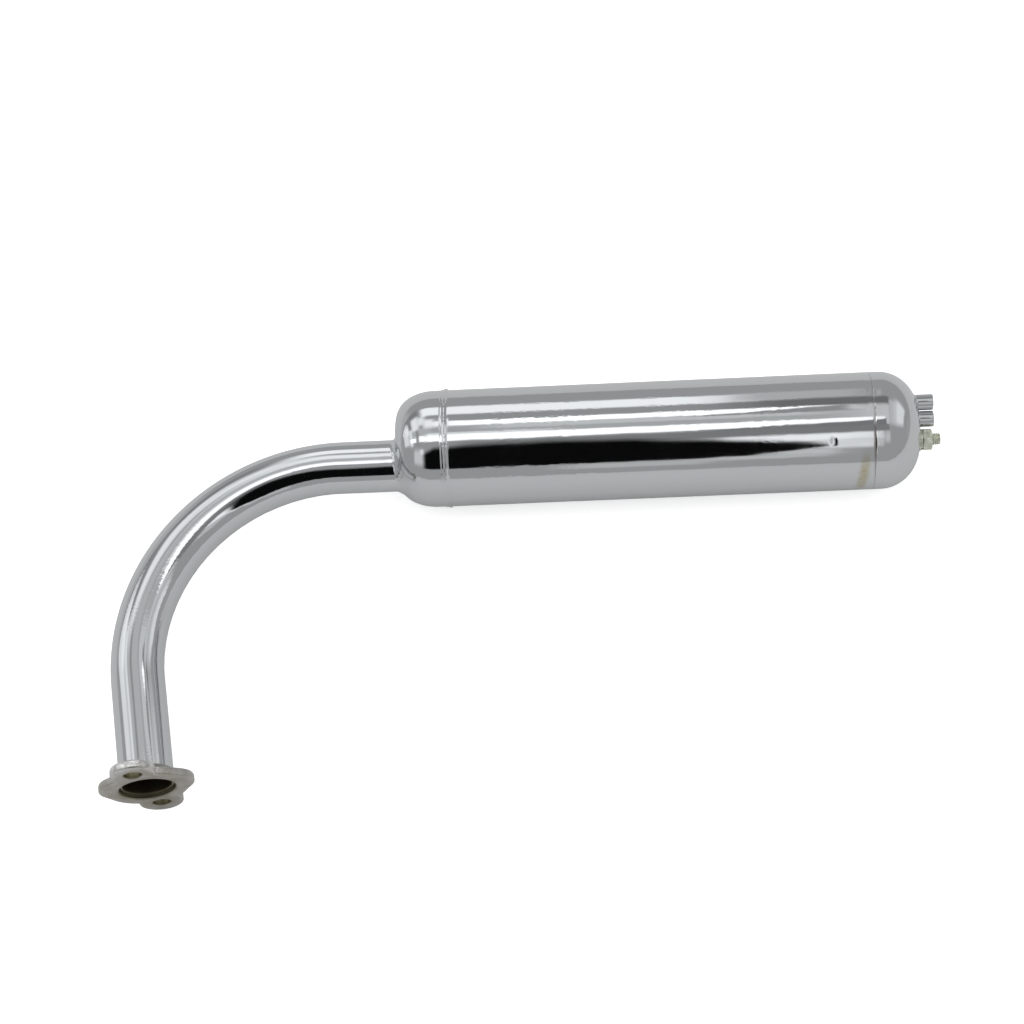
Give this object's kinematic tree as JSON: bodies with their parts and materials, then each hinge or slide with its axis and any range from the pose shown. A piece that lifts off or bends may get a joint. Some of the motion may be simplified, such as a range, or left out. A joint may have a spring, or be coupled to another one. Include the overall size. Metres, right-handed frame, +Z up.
{
  "type": "racing exhaust system",
  "caption": "Chrome two-stroke exhaust: curved header pipe with a two-stud flange, welded to a round canister whose rear cap, with twin outlets and baffles, is held by one nut.",
  "frame": {"origin": "middle of the bounding box's bottom face, on the surface that the exhaust lies on", "axes": "+X along the canister towards the outlets, -Y the way the flange faces, +Z up from the surface"},
  "size_m": [0.4026, 0.2036, 0.0618],
  "materials": {
    "chrome_plate": "polished chrome plate, faintly orange-peeled",
    "tarnished_steel": "dull plated steel, brown-grey with tarnish",
    "zinc_plate": "bright zinc plate, slightly yellowed",
    "bare_steel": "plain cold-rolled steel"
  },
  "bodies": {
    "header_and_canister": {"header_flange": "tarnished_steel", "header_pipe": "chrome_plate", "flange_weld": "tarnished_steel", "pipe_weld": "chrome_plate", "front_dome": "chrome_plate", "front_seam_weld": "chrome_plate", "canister_shell": "chrome_plate", "anchor_bracket": "bare_steel", "anchor_nut": "zinc_plate", "tie_rod": "zinc_plate"},
    "cap_and_core": {"rear_cap": "chrome_plate", "outlet_tube_upper": "chrome_plate", "outlet_tube_lower": "chrome_plate", "rod_sleeve": "bare_steel", "front_baffle": "bare_steel", "middle_baffle": "bare_steel", "rear_baffle": "bare_steel", "baffle_tube": "bare_steel", "flat_washer": "zinc_plate"},
    "lock_washer": {"lock_washer": "zinc_plate"},
    "rear_nut": {"rear_nut": "zinc_plate"}
  },
  "joints": [
    {"name": "cap_pull", "type": "slide", "parent": "header_and_canister", "child": "cap_and_core", "axis": [1, 0, 0], "range_m": [0, 0.18]},
    {"name": "nut_travel", "type": "slide", "parent": "cap_and_core", "child": "lock_washer", "axis": [1, 0, 0], "range_m": [0, 0.009]},
    {"name": "nut_spin", "type": "hinge", "parent": "lock_washer", "child": "rear_nut", "pos_m": [0.19492, 0.06759, 0.02686], "axis": [1, 0, 0], "range_deg": [0, 3241]}
  ],
  "couplings": [
    {"joint": "nut_spin", "follows": "nut_travel", "rad_per_m": 6283.2}
  ]
}
